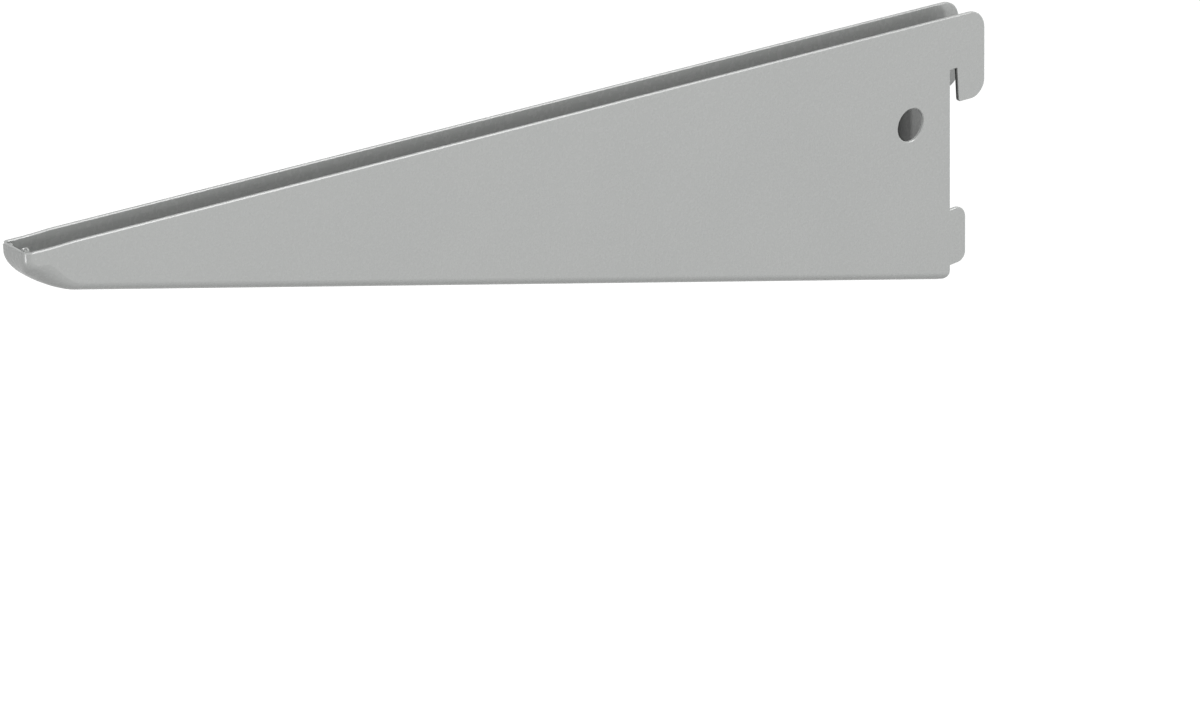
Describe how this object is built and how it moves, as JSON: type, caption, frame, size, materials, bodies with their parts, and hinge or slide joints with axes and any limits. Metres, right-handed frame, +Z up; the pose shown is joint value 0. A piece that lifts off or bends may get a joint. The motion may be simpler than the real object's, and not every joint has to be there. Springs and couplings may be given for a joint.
{
  "type": "slotted shelf bracket",
  "caption": "Slim tapered shelf bracket folded from one steel sheet into an open-topped channel, with downturned hooks and a lower tab that hang in a slotted upright.",
  "frame": {"origin": "where the shelf line meets the face of the upright, midway between the two side plates", "axes": "+X towards the slotted upright, square to its face, +Z up along the upright, +Y across the channel; the tip points to -X"},
  "size_m": [0.2652, 0.0094, 0.0846],
  "materials": {
    "painted_steel": "satin light silver-grey powder coat"
  },
  "bodies": {
    "root": {"shelf_bracket": "painted_steel"}
  },
  "joints": []
}
